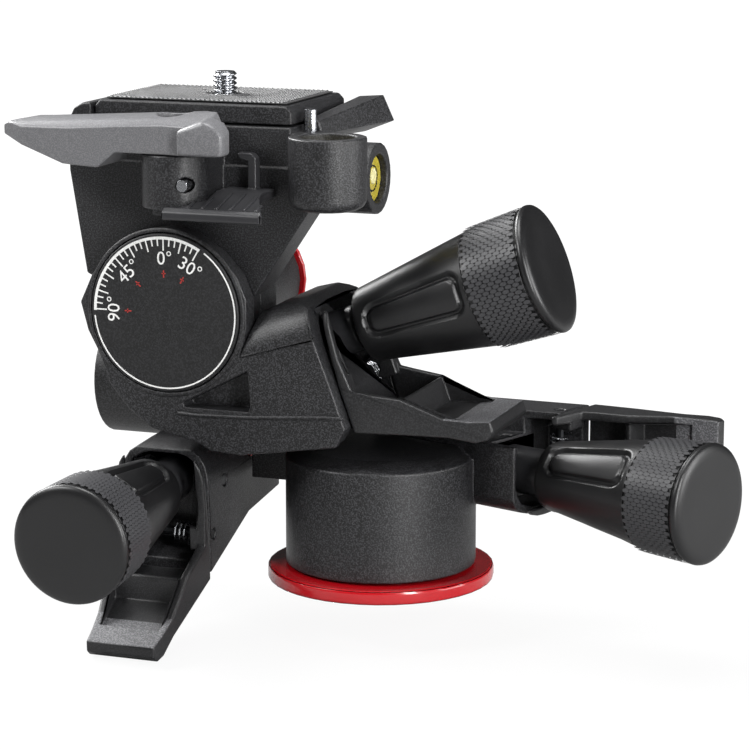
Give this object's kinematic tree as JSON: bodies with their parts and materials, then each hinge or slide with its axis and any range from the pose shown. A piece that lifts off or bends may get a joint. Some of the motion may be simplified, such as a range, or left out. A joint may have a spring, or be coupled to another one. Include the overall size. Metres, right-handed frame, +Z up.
{
  "type": "three-way geared head",
  "caption": "Tripod head that pans and tilts two ways by worm gears, each with a tapered knob and a release lever, under a quick-release camera plate.",
  "frame": {"origin": "on the pan axis at the underside of the base disc, where the tripod's top plate meets it", "axes": "+Z up along the pan axis, +X to the right seen from the dial side, +Y away from the dial side"},
  "size_m": [0.1867, 0.1107, 0.1458],
  "materials": {
    "black_casting": "fine-textured matt black powder coat",
    "grey_casting": "satin anthracite grey",
    "lever_casting": "fine-textured matt black powder coat with glossier channel",
    "inner_casting": "machined casting",
    "knob_plastic": "satin black moulding with scale-shaped grip",
    "black_plastic": "matt black",
    "red_enamel": "glossy red",
    "bright_steel": "bright turned steel",
    "gear_bronze": "cut bronze",
    "pad_rubber": "ribbed black rubber",
    "vial_yellow": "yellow level vial"
  },
  "bodies": {
    "base": {"base_disc": "red_enamel", "base_screw_1": "bright_steel", "base_screw_2": "bright_steel", "base_screw_3": "bright_steel", "pan_spindle": "inner_casting", "pan_wheel": "gear_bronze"},
    "pan": {"pan_housing": "black_casting", "lateral_axle": "bright_steel", "lateral_wheel": "gear_bronze", "pan_lever_pin": "bright_steel", "pan_lever_spring": "bright_steel", "pan_carrier_pin_low": "bright_steel", "pan_carrier_pin_high": "bright_steel"},
    "tilt_arm": {"tilt_body": "black_casting", "end_housing": "black_casting", "end_cap": "black_plastic", "lateral_ring": "red_enamel", "front_ring": "red_enamel", "tilt_dial": "black_plastic", "lateral_lever_pin": "bright_steel", "lateral_lever_spring": "bright_steel", "lateral_carrier_pin_low": "bright_steel", "lateral_carrier_pin_high": "bright_steel", "front_lever_pin": "bright_steel", "front_lever_spring": "bright_steel", "front_carrier_pin_low": "bright_steel", "front_carrier_pin_high": "bright_steel"},
    "bracket": {"plate_bracket": "black_casting", "front_axle": "bright_steel", "front_wheel": "gear_bronze", "eye_vial": "vial_yellow", "tube_vial": "vial_yellow", "plate_jaw": "black_casting", "plate_spring_pin": "bright_steel", "catch_stop_pin": "bright_steel", "lock_screw": "bright_steel"},
    "lock": {"lock_lever": "grey_casting"},
    "catch": {"safety_catch": "black_plastic"},
    "plate": {"camera_plate": "black_casting", "plate_pad": "pad_rubber"},
    "screw": {"camera_screw": "bright_steel"},
    "pan_release_lever": {"pan_lever": "lever_casting"},
    "pan_carrier": {"pan_worm_carrier": "inner_casting"},
    "pan_drive": {"pan_worm": "bright_steel", "pan_knob": "knob_plastic"},
    "lateral_release_lever": {"lateral_lever": "lever_casting"},
    "lateral_carrier": {"lateral_worm_carrier": "inner_casting"},
    "lateral_drive": {"lateral_worm": "bright_steel", "lateral_knob": "knob_plastic"},
    "front_release_lever": {"front_lever": "lever_casting"},
    "front_carrier": {"front_worm_carrier": "inner_casting"},
    "front_drive": {"front_worm": "bright_steel", "front_knob": "knob_plastic"}
  },
  "joints": [
    {"name": "pan_turn", "type": "hinge", "parent": "base", "child": "pan", "pos_m": [0, 0, 0.03], "axis": [0, 0, 1], "continuous": true},
    {"name": "lateral_tilt", "type": "hinge", "parent": "pan", "child": "tilt_arm", "pos_m": [-0.0545, 0.014, 0.0465], "axis": [-1, 0, 0], "range_deg": [-5, 90]},
    {"name": "front_tilt", "type": "hinge", "parent": "tilt_arm", "child": "bracket", "pos_m": [-0.0486, -0.0055, 0.0727], "axis": [0, -1, 0], "range_deg": [-12, 90]},
    {"name": "pan_release", "type": "hinge", "parent": "pan", "child": "pan_release_lever", "pos_m": [0.04353, 0.01874, 0.03], "axis": [0, 0, -1], "range_deg": [0, 3.5], "stiffness_Nm_per_rad": 2, "springref_deg": -14.32},
    {"name": "pan_carrier_swing", "type": "hinge", "parent": "pan", "child": "pan_carrier", "pos_m": [0.03127, 0.0099, 0.03], "axis": [0, 0, -1], "range_deg": [0, 4]},
    {"name": "pan_knob_turn", "type": "hinge", "parent": "pan_carrier", "child": "pan_drive", "pos_m": [0.00684, 0.01879, 0.03], "axis": [0.9397, -0.342, 0], "continuous": true},
    {"name": "lateral_release", "type": "hinge", "parent": "tilt_arm", "child": "lateral_release_lever", "pos_m": [-0.0545, -0.01875, 0.01224], "axis": [-1, 0, 0], "range_deg": [0, 3.5], "stiffness_Nm_per_rad": 2, "springref_deg": -14.32},
    {"name": "lateral_carrier_swing", "type": "hinge", "parent": "tilt_arm", "child": "lateral_carrier", "pos_m": [-0.0545, -0.01092, 0.02517], "axis": [-1, 0, 0], "range_deg": [0, 4]},
    {"name": "lateral_knob_turn", "type": "hinge", "parent": "lateral_carrier", "child": "lateral_drive", "pos_m": [-0.0545, 0.01505, 0.02653], "axis": [0, -0.9986, -0.0523], "range_deg": [-200, 3600]},
    {"name": "front_release", "type": "hinge", "parent": "tilt_arm", "child": "front_release_lever", "pos_m": [-0.00507, -0.0055, 0.05396], "axis": [0, -1, 0], "range_deg": [0, 3.5], "stiffness_Nm_per_rad": 2, "springref_deg": -14.32},
    {"name": "front_carrier_swing", "type": "hinge", "parent": "tilt_arm", "child": "front_carrier", "pos_m": [-0.01733, -0.0055, 0.0628], "axis": [0, -1, 0], "range_deg": [0, 4]},
    {"name": "front_knob_turn", "type": "hinge", "parent": "front_carrier", "child": "front_drive", "pos_m": [-0.04176, -0.0055, 0.05391], "axis": [0.9397, 0, 0.342], "range_deg": [-3600, 480]},
    {"name": "lock_turn", "type": "hinge", "parent": "bracket", "child": "lock", "pos_m": [-0.0436, -0.0316, 0.1195], "axis": [0, 0, 1], "range_deg": [0, 50]},
    {"name": "catch_slide", "type": "slide", "parent": "bracket", "child": "catch", "axis": [0, -1, 0], "range_m": [0, 0.003], "stiffness_N_per_m": 300, "springref_m": -0.003},
    {"name": "plate_lift", "type": "slide", "parent": "bracket", "child": "plate", "axis": [0, 0, 1], "range_m": [0, 0.015]},
    {"name": "camera_screw_turn", "type": "hinge", "parent": "plate", "child": "screw", "pos_m": [-0.0435, 0, 0.1213], "axis": [0, 0, 1], "continuous": true}
  ],
  "couplings": [
    {"joint": "pan_carrier_swing", "follows": "pan_release", "ratio": 1.1429},
    {"joint": "pan_knob_turn", "follows": "pan_turn", "ratio": -40},
    {"joint": "lateral_carrier_swing", "follows": "lateral_release", "ratio": 1.1429},
    {"joint": "lateral_knob_turn", "follows": "lateral_tilt", "ratio": 40},
    {"joint": "front_carrier_swing", "follows": "front_release", "ratio": 1.1429},
    {"joint": "front_knob_turn", "follows": "front_tilt", "ratio": -40}
  ]
}
